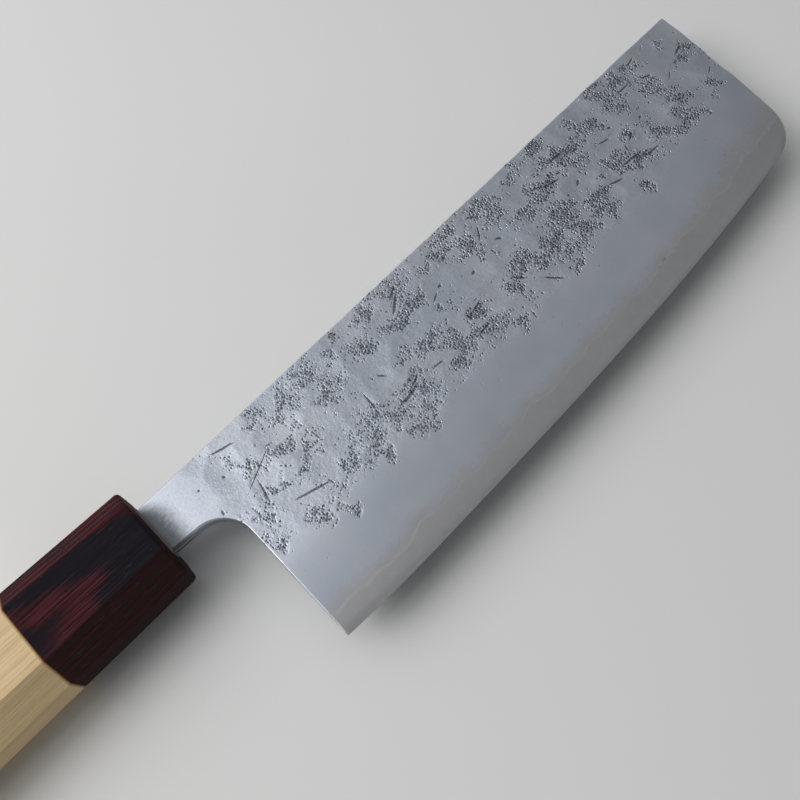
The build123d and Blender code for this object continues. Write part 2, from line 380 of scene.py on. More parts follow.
# Outline of the blade, going round from the neck's end below
heel_point = (heel_x, edge_at(heel_x))
neck_arc = corner_arc((0, neck_y), (choil_x, choil_y), heel_point, choil_radius)
edge_xs = np.arange(heel_x, foot_x, pitch)
foot_back = foot_x - front_foot_radius
foot_up = foot_y + front_foot_radius
foot_start = (foot_back, edge_at(foot_back))
foot_end = (front_at(foot_up), foot_up)
foot_arc = corner_arc(foot_start, (foot_x, foot_y), foot_end, front_foot_radius)
top_corner = (front_x, spine_at(front_x))
top_low_y = top_corner[1] - 2 * front_top_radius
top_start = (front_at(top_low_y), top_low_y)
top_end = (-neck_seat, spine_height)
top_arc = corner_arc(top_start, top_corner, top_end, front_top_radius, top_points)

under_neck = np.array([(-neck_seat, neck_y), (0, neck_y)])
behind_heel = np.concatenate([under_neck, neck_arc])
edge_line = np.stack([edge_xs, edge_at(edge_xs)], axis=-1)
cutting_line = np.concatenate([edge_line[edge_xs < foot_arc[0, 0]], foot_arc])
sharpened_line = cutting_line[:keen_points - arc_points]
front_ys = np.linspace(foot_arc[-1, 1], top_arc[0, 1], front_points)
front_line = np.stack([front_at(front_ys), front_ys], axis=-1)
front_top = top_arc[:top_middle + 1]
top_line = np.concatenate([[top_end], top_arc[:top_middle - 1:-1]])
front_border = np.concatenate([foot_arc, front_line[1:]])
plain_front = np.concatenate([front_border[keen_points:], top_arc, top_line[:1]])
plain_border = [np.concatenate([behind_heel, edge_line[:1]]), plain_front]


def distance_to(points, path):
    """Shortest distance from each point to a line of points, over all its straight pieces."""
    start = path[:-1]
    step = path[1:] - start
    offset = points[..., None, :] - start
    share = np.clip((offset * step).sum(-1) / np.maximum((step * step).sum(-1), 1e-9), 0, 1)
    return np.linalg.norm(offset - share[..., None] * step, axis=-1).min(-1)


def softer_of(first, second, blend):
    """The smaller of two heights, with the crease between them rounded over a blend."""
    return (first + second - np.sqrt((first - second) ** 2 + blend ** 2)) / 2


def dents(x, y, side):
    """Shallow dishes left by the hammer: the deepest of many paraboloids whose middles are
    scattered on a jittered lattice. They are deeper towards the front end, and fade out on the
    neck, among pits and below the limit of the tapped surface."""
    rng = np.random.default_rng(face_seeds[side])
    columns = slice(0, front_x + dent_spacing, dent_spacing)
    rows = slice(dent_lowest, spine_height + dent_margin, dent_spacing * dent_row_share)
    lattice = np.mgrid[columns, rows]
    middles = lattice.reshape(2, -1).T
    middles = middles + rng.uniform(-dent_jitter, dent_jitter, (lattice[0].size, 2))
    stretch = rng.uniform(*dent_reach, (len(middles), 2))
    depth = rng.uniform(*dent_depth, len(middles))
    deepest = np.zeros_like(x)
    for middle, reach, most in zip(middles, stretch, depth):
        bowl = 1 - ((x - middle[0]) / reach[0]) ** 2 - ((y - middle[1]) / reach[1]) ** 2
        deepest = np.maximum(deepest, most * bowl)
    limit = rough_limit(x)
    pitted = pitting(np.stack([x, y], axis=-1), face_patches(side), side)
    deepest = deepest * (1 - dent_among_pits * pitted)
    deepest = deepest * (1 + dent_growth * smooth_step(x, *dent_growth_span))
    deepest = deepest * smooth_step(y, limit + dent_fade[0], limit + dent_fade[1])
    return deepest * smooth_step(x, *dent_start)


def scars(points, side):
    """Depth of the coarse relief that pits and gouges leave. A pitted patch lies a little lower and
    is lumpy with two crossed sets of short waves; a gouge dips evenly towards its middle line."""
    x, y = points[..., 0], points[..., 1]
    seed = face_seeds[side]
    lumps = waves(x + 0.35 * y, (1.9, 1.45, 2.6), seed + 6)
    lumps = lumps + waves(y - 0.45 * x, (1.6, 2.2, 1.3), seed + 7)
    patches = pitting(points, face_patches(side), side) * (patch_depth + lump_depth * lumps)
    from_mark = np.linalg.norm(gouge_place(points, face_gouges(side)), axis=-1)
    return np.maximum(patches, 0) + gouge_dip * np.clip(gouge_brim - from_mark, 0, 1)


def outer_half(points, side):
    """Half thickness of the blade at points of its outline: the least of the tapped flat, the
    ground face and the sharpened rim, rounded off along every plain border."""
    x, y = points[..., 0], points[..., 1]
    above_edge = y - edge_at(x)
    flat = flat_half(x) - dents(x, y, side) - scars(points, side)
    hand = hand_waver * waves(x + 0.6 * y, (37.0, 23.0, 61.0), face_seeds[side])
    hand = hand * smooth_step(above_edge, *hand_fade)
    ground = edge_land / 2 + bevel_slope(x) * above_edge + hand
    rim = keen_land / 2 + keen_slope * distance_to(points, sharpened_line)
    surface = softer_of(softer_of(flat, ground, shoulder_blend), rim, rim_blend)
    border = np.minimum(*(distance_to(points, path) for path in plain_border))
    left = np.clip(border_ease - border, 0, border_ease)
    drop = border_ease - np.sqrt(border_ease ** 2 - left ** 2)
    return surface - np.minimum(drop, border_share * surface)


def fan_grid(bottom, right, spacing):
    """Points between a bottom line and the spine. Each column runs straight from a point of the
    bottom line to the point at the same share of the top line, with rows set close together near
    both ends and evenly between. The last columns lean over to follow the right line."""
    reach = length_of(bottom)
    even = np.linspace(0, reach - border_band, round(reach / spacing))
    spots = np.concatenate([even, reach - close_rows[::-1]])
    share = spots / reach
    low = along(bottom, spots)
    high = along(top_line, share * length_of(top_line))
    tall = np.linalg.norm(high - low, axis=1)
    even_rows = np.linspace(0, 1, round(blade_height / spacing))[:, None] * (tall - 2 * border_band)
    near = close_rows[:, None] * np.ones_like(tall)
    rows = np.concatenate([near, border_band + even_rows, tall - near[::-1]]) / tall
    grid = low + (high - low) * rows[..., None]
    lean = along(right, rows[:, -1] * length_of(right)) - grid[:, -1]
    return grid + lean[:, None] * (share ** lean_power)[:, None]


def new_piece(name, vertices, faces, slot, finish, *nodes):
    """Mesh object from vertices in home millimetres, riding on the knife in place of CAD nodes."""
    mesh = bpy.data.meshes.new(name)
    mesh.from_pydata((np.asarray(vertices) + home) * mm, [], faces)
    mesh.shade_smooth()
    mesh.set_sharp_from_angle(angle=radians(sharp_angle))
    mesh.materials.append(finish)
    piece = bpy.data.objects.new(name, mesh)
    bpy.context.scene.collection.objects.link(piece)
    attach(piece, "root")
    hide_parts(*nodes)
    return piece


def slab(upper, lower):
    """Closed mesh between two sheets over the same grid, with a wall all round their border.
    Rows run to the spine and columns to the front, so a quad goes column first to face up."""
    rows, columns = upper.shape[:2]
    index = np.arange(rows * columns).reshape(rows, columns)
    corners = [index[:-1, :-1], index[:-1, 1:], index[1:, 1:], index[1:, :-1]]
    quads = np.stack(corners, axis=-1).reshape(-1, 4)
    rim = np.concatenate([index[0, :-1], index[:-1, -1], index[-1, :0:-1], index[:0:-1, 0]])
    after = np.roll(rim, -1)
    below = rows * columns
    walls = np.stack([rim + below, after + below, after, rim], axis=-1)
    faces = np.concatenate([quads, quads[:, ::-1] + below, walls])
    return np.concatenate([upper.reshape(-1, 3), lower.reshape(-1, 3)]), faces.tolist()


def lifted(grid, heights):
    """Grid of flat points given their heights as a third coordinate."""
    return np.concatenate([grid, heights[..., None]], axis=-1)


def random_patches(side):
    """Pit patches of a face that isn't seen in front, scattered from a seed."""
    rng = np.random.default_rng(face_seeds[side])
    x = rng.uniform(heel_x + 3, front_x - 4, left_patch_count)
    y = rng.uniform(rough_limit(x), spine_height)
    sizes = rng.uniform(*left_patch_sizes, (left_patch_count, 2))
    turns = rng.normal(0, left_patch_turn, left_patch_count)
    return np.column_stack([x, y, sizes, turns])


def face_patches(side):
    """Pit patches of a face: those listed for the right one, scattered ones on the left."""
    return pit_patches if side == "right" else random_patches(side)


def random_gouges(side):
    """Gouges of a face that isn't seen in front: mostly lengthwise, from a seed."""
    rng = np.random.default_rng(face_seeds[side] + 50)
    x = rng.uniform(heel_x + 3, front_x - 12, left_gouge_count)
    y = rng.uniform(rough_limit(x) + 1, spine_height - 2)
    turn = np.radians(rng.normal(0, left_gouge_turn, left_gouge_count))
    long = rng.uniform(*left_gouge_length, left_gouge_count)
    wide = rng.uniform(*left_gouge_width, left_gouge_count)
    return np.column_stack([x, y, x + long * np.cos(turn), y + long * np.sin(turn), wide])


def face_gouges(side):
    """Gouges of a face, listed or scattered in the same way."""
    return gouges if side == "right" else random_gouges(side)


def pitting(points, patches, side):
    """How closely pits stand at each point: one in the middle of a patch, falling evenly to none a
    third of its radius outside it. Waves along both directions bend the patches and make their
    edges ragged."""
    seed = face_seeds[side]
    plain_x, plain_y = points[..., 0], points[..., 1]
    x = plain_x + patch_bend[0] * waves(plain_y + 0.4 * plain_x, (5.1, 8.3, 12.7), seed + 2)
    y = plain_y + patch_bend[1] * waves(plain_x - 0.3 * plain_y, (6.1, 4.3, 9.7), seed + 3)
    ragged = patch_ragged * waves(x + 0.8 * y, (3.1, 4.7, 2.2), seed)
    ragged = ragged + patch_ragged * waves(y - 0.7 * x, (2.7, 5.3, 1.9), seed + 1)
    density = np.zeros_like(x)
    for middle_x, middle_y, half_length, half_height, turn in patches:
        across, up = x - middle_x, y - middle_y
        c, s = cos(radians(turn)), sin(radians(turn))
        lengthwise = (across * c + up * s) / half_length
        crosswise = (up * c - across * s) / half_height
        density = np.maximum(density, patch_reach - np.hypot(lengthwise, crosswise) + ragged)
    return np.clip(density / patch_full, 0, 1)


def gouge_place(points, marks):
    """Where each point lies in its nearest gouge: its distance along and across the mark's middle,
    as shares of half the mark's length and width, so that the mark is a unit circle. Points far
    from any get a far place."""
    nearest = np.full(points.shape[:-1] + (3,), far_share)
    nearest[..., 2] = 0
    for start_x, start_y, end_x, end_y, width in marks:
        half = np.array((end_x - start_x, end_y - start_y)) / 2
        offset = points - np.array((start_x + end_x, start_y + end_y)) / 2
        half_length = np.linalg.norm(half)
        lengthwise = offset @ half / half_length
        crosswise = (offset[..., 1] * half[0] - offset[..., 0] * half[1]) / half_length
        shares = [lengthwise / half_length, crosswise * 2 / width, np.zeros_like(crosswise)]
        own = np.stack(shares, axis=-1)
        close = np.abs(lengthwise) < half_length + gouge_band
        close = close & (np.abs(crosswise) < gouge_band)
        nearer = close & (np.linalg.norm(own, axis=-1) < np.linalg.norm(nearest, axis=-1))
        nearest[nearer] = own[nearer]
    return nearest


class Wire:
    """A node's output. Arithmetic on it adds the Math node that works the value out."""

    def __init__(self, shading, socket):
        self.shading = shading
        self.socket = socket

    def math(self, operation, *values, clamp=False):
        settings = {"operation": operation, "use_clamp": clamp}
        return self.shading.node("ShaderNodeMath", settings, dict(enumerate(values)))

    def __add__(self, other):
        return self.math("ADD", self, other)

    def __radd__(self, other):
        return self.math("ADD", other, self)

    def __sub__(self, other):
        return self.math("SUBTRACT", self, other)

    def __rsub__(self, other):
        return self.math("SUBTRACT", other, self)

    def __mul__(self, other):
        return self.math("MULTIPLY", self, other)

    def __rmul__(self, other):
        return self.math("MULTIPLY", other, self)

    def __truediv__(self, other):
        return self.math("DIVIDE", self, other)

    def larger(self, other):
        return self.math("MAXIMUM", self, other)

    def sine(self):
        return self.math("SINE", self)

    def clamped(self):
        return self.math("ADD", self, 0.0, clamp=True)


class Shading:
    """The nodes of a material or of the world, cleared to be built up again."""

    def __init__(self, owner):
        owner.use_nodes = True
        self.tree = owner.node_tree
        self.tree.nodes.clear()

    def node(self, kind, settings=None, sockets=None, result=0):
        """Adds a node: its settings first, then its sockets' values or links. Returns one of its
        outputs, or the node itself if it has none."""
        made = self.tree.nodes.new(kind)
        for key, value in (settings or {}).items():
            setattr(made, key, value)
        for key, value in (sockets or {}).items():
            socket = self.chosen(made.inputs, key)
            if isinstance(value, Wire):
                self.tree.links.new(value.socket, socket)
            elif socket.type == "RGBA":
                socket.default_value = (*value, 1.0)
            else:
                socket.default_value = value
        return Wire(self, self.chosen(made.outputs, result)) if len(made.outputs) else made

    def chosen(self, sockets, key):
        """One of a node's enabled sockets, by its number or its name."""
        usable = [socket for socket in sockets if socket.enabled]
        return usable[key] if isinstance(key, int) else next(s for s in usable if s.name == key)

    def outputs(self, wire, *names):
        """Other outputs of the node that a wire comes from."""
        return [Wire(self, self.chosen(wire.socket.node.outputs, name)) for name in names]

    def parts(self, vector):
        """The x, y and z of a vector."""
        split = self.node("ShaderNodeSeparateXYZ", sockets={"Vector": vector})
        return self.outputs(split, "X", "Y", "Z")

    def join(self, x, y, z):
        return self.node("ShaderNodeCombineXYZ", sockets={"X": x, "Y": y, "Z": z})

    def vector_math(self, operation, sockets, result=0):
        return self.node("ShaderNodeVectorMath", {"operation": operation}, sockets, result)

    def scaled(self, vector, factors):
        return self.vector_math("MULTIPLY", {0: vector, 1: factors})

    def shaded(self, colour, factor):
        return self.vector_math("SCALE", {"Vector": colour, "Scale": factor})

    def length(self, vector):
        return self.vector_math("LENGTH", {0: vector}, "Value")

    def noise(self, vector, scale=1.0, detail=2.0, roughness=0.5):
        sockets = {"Vector": vector, "Scale": scale, "Detail": detail, "Roughness": roughness}
        return self.node("ShaderNodeTexNoise", {"noise_dimensions": "3D"}, sockets)

    def field(self, name, result="Fac"):
        """An attribute of the mesh."""
        return self.node("ShaderNodeAttribute", {"attribute_name": name}, result=result)

    def step(self, value, low, high):
        """0 below low and 1 above high, with a smooth change between them. Low may be the larger
        one."""
        sockets = {"Value": value, "From Min": low, "From Max": high}
        return self.node("ShaderNodeMapRange", {"interpolation_type": "SMOOTHSTEP"}, sockets)

    def mix(self, share, first, second):
        """The first colour, turned into the second by a share."""
        sockets = {"Factor": share, "A": first, "B": second}
        return self.node("ShaderNodeMix", {"data_type": "RGBA"}, sockets)

    def principled(self, colour, roughness, **constants):
        """A Principled shader. Its constants are named as the sockets are, with underscores."""
        sockets = {"Base Color": colour, "Roughness": roughness}
        sockets.update({key.replace("_", " "): value for key, value in constants.items()})
        return self.node("ShaderNodeBsdfPrincipled", sockets=sockets)

    def seen(self):
        """1 for rays that come from the camera, from a mirroring surface or through a clear one,
        otherwise 0."""
        camera_ray = self.node("ShaderNodeLightPath", result="Is Camera Ray")
        glossy, clear = self.outputs(camera_ray, "Is Glossy Ray", "Is Transmission Ray")
        return camera_ray.larger(glossy).larger(clear)


class Finish(Shading):
    """A material under construction, measured in home millimetres or along the handle's axis."""

    def __init__(self, name, turn=0.0):
        self.material = bpy.data.materials.new(name)
        super().__init__(self.material)
        object_place = self.node("ShaderNodeTexCoord", result="Object")
        home_x = home[0] * cos(turn) - home[1] * sin(turn)
        home_y = home[0] * sin(turn) + home[1] * cos(turn)
        sockets = {
            "Vector": object_place,
            "Location": (-home_x, -home_y, -home[2]),
            "Rotation": (0, 0, turn),
            "Scale": (1 / mm,) * 3,
        }
        self.place = self.node("ShaderNodeMapping", {"vector_type": "POINT"}, sockets)

    def finished(self, colour, roughness, height, **constants):
        """Ends the material in a Principled shader. The height is in millimetres."""
        relief = {"Height": height, "Distance": mm, "Strength": 1.0}
        bump = self.node("ShaderNodeBump", sockets=relief)
        shader = self.principled(colour, roughness, Normal=bump, **constants)
        self.node("ShaderNodeOutputMaterial", sockets={"Surface": shader})
        return self.material


def cladding_finish(side):
    """Soft outer steel: blasted satin with ragged patches of close round pits and straight gouges
    above, plain satin on the ground face, and a painted shade that darkens the neck next to the
    ferrule."""
    finish = Finish("cladding_steel_" + side)
    x, y = finish.parts(finish.place)[:2]
    shift = float(face_seeds[side] * 31)
    own_place = finish.join(x + shift, y, shift)
    pits = finish.field("pitting")
    tapped = finish.field("tapped")
    seam = finish.field("seam")
    mark = finish.field("gouge", "Vector")
    grain = finish.noise(own_place, 2.6, 2.0)
    swell = finish.noise(own_place, 0.9, 2.0)
    patchy = finish.noise(own_place, 0.11, 2.0)

    # How closely pits stand, and each pit's floor and wider bowl: the floor takes a painted shade
    # and the ring of bowl round it a painted highlight. Pits are cells of a Voronoi texture, and a
    # cell stays empty if its own chance is above the closeness.
    ragged = finish.noise(own_place, 0.6, 3.0, 0.65)
    drifts = finish.noise(finish.join(x * 0.8 + y * 0.5, y, shift), 0.24, 2.0)
    spread = tapped * (0.55 + 0.45 * finish.step(pits, 0.0, 0.3))
    deep = finish.step(x, 50.0, 130.0)
    uneven = ((ragged - 0.49) * 2.4 + (drifts - 0.5) * 2.2) * spread
    closeness = pits * (1.04 + 0.16 * deep) + uneven
    close = (closeness * 1.3 - 0.15).clamped()
    cells = {"Vector": own_place, "Scale": 1.42, "Randomness": 0.88}
    voronoi = finish.node("ShaderNodeTexVoronoi", {"voronoi_dimensions": "2D"}, cells, "Distance")
    chance, size, strength = finish.parts(finish.outputs(voronoi, "Color")[0])
    present = finish.step(closeness - 0.80 * chance, 0.0, 0.12)
    pit = finish.step(voronoi / (0.31 + 0.04 * deep + 0.24 * size), 1.0, 0.4) * present
    bowl = finish.step(voronoi / (0.46 + 0.18 * size), 1.0, 0.15) * present

    # Gouges, and hollows where pits have run together
    gouge = finish.step(finish.length(mark) + (grain - 0.5) * 0.8, 0.98, 0.5)
    merged = finish.step(swell + 0.24 * closeness, 0.71, 0.84)
    sunk = finish.step(closeness, 0.16, 0.40)

    # Colour: bluish clouds, greyer above the layer line, with a pale weld along it
    steel = finish.mix(patchy, steel_cool, steel_even)
    blend = finish.step(seam + (swell - 0.5) * 0.7, 0.25, 1.0)
    steel = finish.mix(blend, steel, steel_thin)
    weld = finish.step(seam + (grain - 0.5) * 0.12, 0.90, 0.985) * finish.step(swell, 0.36, 0.58)
    neck = finish.step(x, 17.0, 8.0)
    bright = 0.98 + 0.14 * (patchy - 0.5) + (grain - 0.5) * (0.08 + 0.28 * tapped + 0.34 * neck)
    # Painted shade: the steel is darker where pits stand close, in the hollows where they have run
    # together, and along the gouges.
    bright = bright * (1 - 0.10 * close) * (1 - 0.36 * merged)
    bright = bright * (1 - 0.70 * gouge) * (1 + 0.04 * neck + 0.09 * weld)
    # Painted highlight on the ring of each pit's bowl round its floor, stronger towards the front
    # end.
    bright = bright * (1 + (0.04 + 0.20 * deep) * (bowl - pit))
    # Painted shade: the neck darkens towards the ferrule. It is mottled, and reaches further along
    # the neck near the spine.
    painted_shade_mottling = finish.noise(finish.join(x * 0.45, y, shift), 1.5, 3.0, 0.6)
    near_ferrule = x + 0.0145 * y.larger(0.0) * y * y + (painted_shade_mottling - 0.5) * 2.6
    painted_neck_shade = finish.step(near_ferrule, 7.3, 1.9)
    colour = finish.shaded(steel, bright * (1 - 0.81 * painted_neck_shade))
    # Painted shade in the floor of each pit.
    colour = finish.mix(pit * (0.66 + 0.10 * deep + 0.24 * strength), colour, painted_pit_shade)

    roughness = 0.34 + 0.10 * (patchy - 0.5) + 0.10 * pit + 0.04 * tapped
    height = (grain - 0.5) * (0.004 + 0.026 * tapped + 0.016 * neck)
    height = height + (swell - 0.5) * 0.06 * tapped
    height = height - 0.018 * sunk - 0.05 * merged - (0.058 + 0.122 * deep) * bowl - 0.13 * gouge
    return finish.finished(colour, roughness, height, Metallic=1.0)


def core_finish():
    """Hard core steel laid bare at the edge: a slightly warmer satin with soft clouds and a lighter
    rim along the sharpened edge, partly the honed steel's own tone and partly painted light that
    evens out the shade of the rim's steeper slope."""
    finish = Finish("core_steel_satin")
    rim = finish.field("rim")
    clouds = finish.noise(finish.place, 0.16, 3.0)
    haze = finish.noise(finish.place, 0.04, 1.0)
    lines = finish.noise(finish.scaled(finish.place, (0.25, 9.0, 9.0)), 1.0, 2.0)
    lobes = finish.noise(finish.place, 0.42, 3.0, 0.6)
    colour = finish.mix(clouds, core_cool, core_warm)
    # Partly painted light: the rim is lighter to offset the shade that its steeper slope takes.
    bright = 0.92 + 0.12 * haze + 0.06 * (lines - 0.5) + 0.16 * (lobes - 0.5) + 0.09 * rim
    colour = finish.shaded(colour, bright)
    roughness = 0.36 + 0.06 * (clouds - 0.5) - 0.03 * rim
    return finish.finished(colour, roughness, (lines - 0.5) * 0.006, Metallic=1.0)


def ferrule_finish():
    """Laminated dark wood: red and black sheets lie nearly level with the broad side and bend up
    towards the rear, so the side cuts them in a long red wedge and the slanted facets in stripes.
    Fine streaks and pores run lengthwise."""
    finish = Finish("ferrule_laminate", radians(handle_rise))
    x, y, z = finish.parts(finish.place)
    drift = finish.noise(finish.scaled(finish.place, (0.05, 0.3, 0.3)), 1.0, 2.0)
    streaks = finish.noise(finish.scaled(finish.place, (0.06, 2.4, 2.4)), 1.0, 3.0)
    pores = finish.noise(finish.scaled(finish.place, (0.25, 6.0, 6.0)), 1.0, 2.0)
    across = y + 2.0
    level = z.larger(0 - z)
    sheet = level - 0.048 * x - 0.020 * across * across
    sheet = sheet + 1.5 * (drift - 0.5) + 1.4 * (streaks - 0.5)
    red_sheet = finish.step(((sheet - 10.1) * 2.73 + 1.57).sine(), 0.0, 0.9)
    lower = finish.step(y, -5.8, -7.5)
    dark = finish.mix(streaks, sheet_black, sheet_grey)
    dark = finish.mix(lower * 0.7, dark, sheet_brown)
    red = finish.mix(finish.step(streaks, 0.38, 0.64), sheet_deep_red, sheet_red)
    upper = finish.step(y, 5.5, 7.5)
    red = finish.mix(upper * 0.6, red, sheet_bright_red)
    colour = finish.mix(red_sheet * (1 - 0.45 * lower), dark, red)
    dust = finish.step(pores, 0.64, 0.76)
    colour = finish.mix(dust * (0.35 + 0.2 * lower), colour, sheet_dust)
    height = (streaks - 0.5) * 0.05 + (pores - 0.5) * 0.03 - dust * 0.02
    return finish.finished(colour, 0.50 + 0.14 * pores, height, Specular_IOR_Level=0.02)


def handle_finish():
    """Pale straight-grained wood: soft year rings cut lengthwise, fine fibres and dark pores."""
    finish = Finish("pale_handle_wood", radians(handle_rise))
    x, y, z = finish.parts(finish.place)
    bend = finish.noise(finish.scaled(finish.place, (0.012, 0.06, 0.06)), 1.0, 2.0)
    rings = ((z * 0.45 + y + 6.0 * (bend - 0.5)) * 2.1).sine() * 0.5 + 0.5
    ring = finish.step(rings, 0.35, 1.0)
    fibres = finish.noise(finish.scaled(finish.place, (0.035, 3.4, 3.4)), 1.0, 3.0)
    broad = finish.noise(finish.scaled(finish.place, (0.02, 0.3, 0.3)), 1.0, 2.0)
    pores = finish.noise(finish.scaled(finish.place, (0.16, 6.5, 6.5)), 1.0, 2.0)
    colour = finish.mix(broad, wood_honey, wood_pale)
    colour = finish.mix(ring * 0.30, colour, wood_ring)
    colour = finish.mix(finish.step(fibres, 0.48, 0.70) * 0.45, colour, wood_fibre)
    pore = finish.step(pores, 0.62, 0.74)
    colour = finish.mix(pore * 0.4, colour, wood_pore)
    stain = finish.step(x, -ferrule_length - 0.7, -ferrule_length - 0.1)
    colour = finish.mix(stain * 0.8, colour, wood_stain)
    height = (fibres - 0.5) * 0.03 - pore * 0.03
    return finish.finished(colour, 0.50 + 0.12 * fibres, height, Specular_IOR_Level=0.25)


def dowel_finish():
    """Plain hardwood of the hidden dowel, with fine lengthwise fibres."""
    finish = Finish("dowel_hardwood", radians(handle_rise))
    fibres = finish.noise(finish.scaled(finish.place, (0.05, 2.5, 2.5)), 1.0, 3.0)
    colour = finish.mix(fibres, dowel_dark, dowel_pale)
    return finish.finished(colour, 0.6 + 0.1 * fibres, (fibres - 0.5) * 0.04)


def filler_finish(name, low, high, roughness):
    """Cured resin or filler: an even tone with small clouds and a slightly uneven skin."""
    finish = Finish(name)
    clouds = finish.noise(finish.place, 0.9, 3.0)
    skin = finish.noise(finish.place, 3.0, 2.0)
    colour = finish.mix(clouds, low, high)
    return finish.finished(colour, roughness + 0.1 * skin, (skin - 0.5) * 0.03)


def floor_finish():
    """Plain pale studio floor, with a very faint unevenness. Far from the knife it passes into the
    tone of the surround, so that no horizon is seen."""
    finish = Finish("pale_floor")
    clouds = finish.noise(finish.place, 0.01, 2.0)
    colour = finish.mix(clouds, floor_low, floor_high)
    floor = finish.principled(colour, 0.75, Specular_IOR_Level=0.1)
    beyond = finish.node("ShaderNodeEmission", sockets={"Color": pale_surround, "Strength": 1.0})
    far = finish.step(finish.length(finish.place), 200.0, 520.0) * finish.seen()
    surface = finish.node("ShaderNodeMixShader", sockets={0: far, 1: floor, 2: beyond})
    finish.node("ShaderNodeOutputMaterial", sockets={"Surface": surface})
    return finish.material


def blade_layer(name, side, grid, upper, lower, slot, finish, *nodes):
    """One layer of the blade, with the attributes that its finish reads."""
    vertices, faces = slab(lifted(grid, upper), lifted(grid, lower))
    piece = new_piece(name, vertices, faces, slot, finish, *nodes)
    x, y = grid[..., 0], grid[..., 1]
    fields = {"rim": 1 - smooth_step(distance_to(grid, sharpened_line), *rim_span)}
    if side:
        limit = rough_limit(x)
        reach = seam_reach + seam_growth * smooth_step(x, *seam_span)
        tapped = smooth_step(y, limit - tapped_blend, limit + tapped_blend)
        fields["pitting"] = pitting(grid, face_patches(side), side)
        fields["tapped"] = tapped * smooth_step(x, *tapped_start)
        fields["seam"] = 1 - np.clip((y - layer_line(x, side)) / reach, 0, 1)
        places = gouge_place(grid, face_gouges(side))
        attribute = piece.data.attributes.new("gouge", "FLOAT_VECTOR", "POINT")
        attribute.data.foreach_set("vector", np.tile(places.ravel(), 2))
    for key, values in fields.items():
        attribute = piece.data.attributes.new(key, "FLOAT", "POINT")
        attribute.data.foreach_set("value", np.tile(values.ravel(), 2))


def seam_half(x, side):
    """Half thickness of the ground blade at the layer line."""
    return edge_land / 2 + bevel_slope(x) * (layer_line(x, side) - edge_at(x))


def blade():
    """The three layers. A cladding reaches down to the layer line and the core on to the cutting
    edge. Both use the same height for the plane between them."""
    front_end = np.concatenate([front_line, front_top])
    core_grid = fan_grid(np.concatenate([behind_heel, cutting_line]), front_end, pitch)
    halves = {}
    for side, spacing in (("right", fine_pitch), ("left", pitch)):
        line_xs = np.arange(heel_x, front_x, pitch / 2)
        line = np.stack([line_xs, layer_line(line_xs, side)], axis=-1)
        heel_share = (line[0, 1] - edge_line[0, 1]) / (neck_arc[-1, 1] - edge_line[0, 1])
        heel_end = (heel_x + (neck_arc[-1, 0] - heel_x) * heel_share, line[0, 1])
        border_xs = np.interp(line[:, 1], front_border[:, 1], front_border[:, 0])
        inside = (line_xs > heel_end[0] + 0.1) & (line_xs < border_xs - 0.1)
        last_x, last_y = border_xs[inside][-1], line[inside][-1, 1]
        line = np.concatenate([[heel_end], line[inside], [(last_x, last_y)]])
        above = front_border[:, 1] > last_y
        right = np.concatenate([line[-1:], front_border[above], front_top])
        grid = fan_grid(np.concatenate([behind_heel, line]), right, spacing)
        outer = outer_half(grid, side)
        inner = np.minimum(seam_half(grid[..., 0], side), outer - layer_gap)
        upper, lower = (outer, inner) if side == "right" else (-inner, -outer)
        name = "forged_cladding_" + side
        finish = cladding_finish(side)
        blade_layer(name, side, grid, upper, lower, "cladding_steel", finish, "cladding_" + side)
        core_seam = seam_half(core_grid[..., 0], side)
        halves[side] = np.minimum(outer_half(core_grid, side), core_seam - layer_gap / 4)
    upper, lower = halves["right"], -halves["left"]
    finish = core_finish()
    blade_layer("cutting_core", None, core_grid, upper, lower, "core_steel", finish, "core_steel")


def grip_size(behind):
    """Height, width and corner cut of the handle, at distances behind the ferrule's front face."""
    share = behind / handle_length
    height = handle_front_height + (handle_butt_height - handle_front_height) * share
    width = handle_front_width + (handle_butt_width - handle_front_width) * share
    cut = front_corner_cut + (butt_corner_cut - front_corner_cut) * share
    return height, width, cut


def octagon_ring(behind, inset):
    """Outline of the handle at a distance behind its front, drawn in by an inset: the octagon's
    eight sides, each followed by an arc that turns through an eighth of a circle."""
    height, width, cut = grip_size(behind)
    y, z = height / 2 - inset, width / 2 - inset
    cut = cut - inset * (2 - 2 ** 0.5)
    half = np.array([(y, z - cut), (y - cut, z), (cut - y, z), (-y, z - cut)])
    corners = np.concatenate([half, -half])
    reach = facet_round * tan(pi / 8)
    step = np.roll(corners, -1, axis=0) - corners
    ahead = step / np.linalg.norm(step, axis=1, keepdims=True)
    inward = np.stack([-ahead[:, 1], ahead[:, 0]], axis=-1)
    share = np.linspace(0, 1, side_steps, endpoint=False)[:, None]
    first, last = corners + ahead * reach, np.roll(corners, -1, axis=0) - ahead * reach
    sides = first[:, None] + (last - first)[:, None] * share
    middles = last + inward * facet_round
    swing = np.linspace(0, pi / 4, corner_steps, endpoint=False)[:, None]
    spokes = ahead[:, None] * np.sin(swing) - inward[:, None] * np.cos(swing)
    arcs = middles[:, None] + facet_round * spokes
    ring = np.concatenate([sides, arcs], axis=1).reshape(-1, 2)
    return np.column_stack([np.full(len(ring), -behind), ring])


def inner_ring(behind, half_height, half_width, power, middle=0.0):
    """Outline of a hole: a superellipse of the given half sizes, which is a circle at power two and
    nearly a rectangle at a high power. It has as many points as an outline of the handle, at their
    angles."""
    outer = octagon_ring(behind, 0)
    angle = np.arctan2(outer[:, 2], outer[:, 1])
    c, s = np.abs(np.cos(angle)) / half_height, np.abs(np.sin(angle)) / half_width
    radius = (c ** power + s ** power) ** (-1 / power)
    return np.column_stack([outer[:, 0], middle + radius * np.cos(angle), radius * np.sin(angle)])


def on_home(points):
    """Points along the handle's axis, turned into the home frame."""
    x, y, z = points[..., 0], points[..., 1], points[..., 2]
    return np.stack([x * cos(rise) + y * sin(rise), y * cos(rise) - x * sin(rise), z], axis=-1)


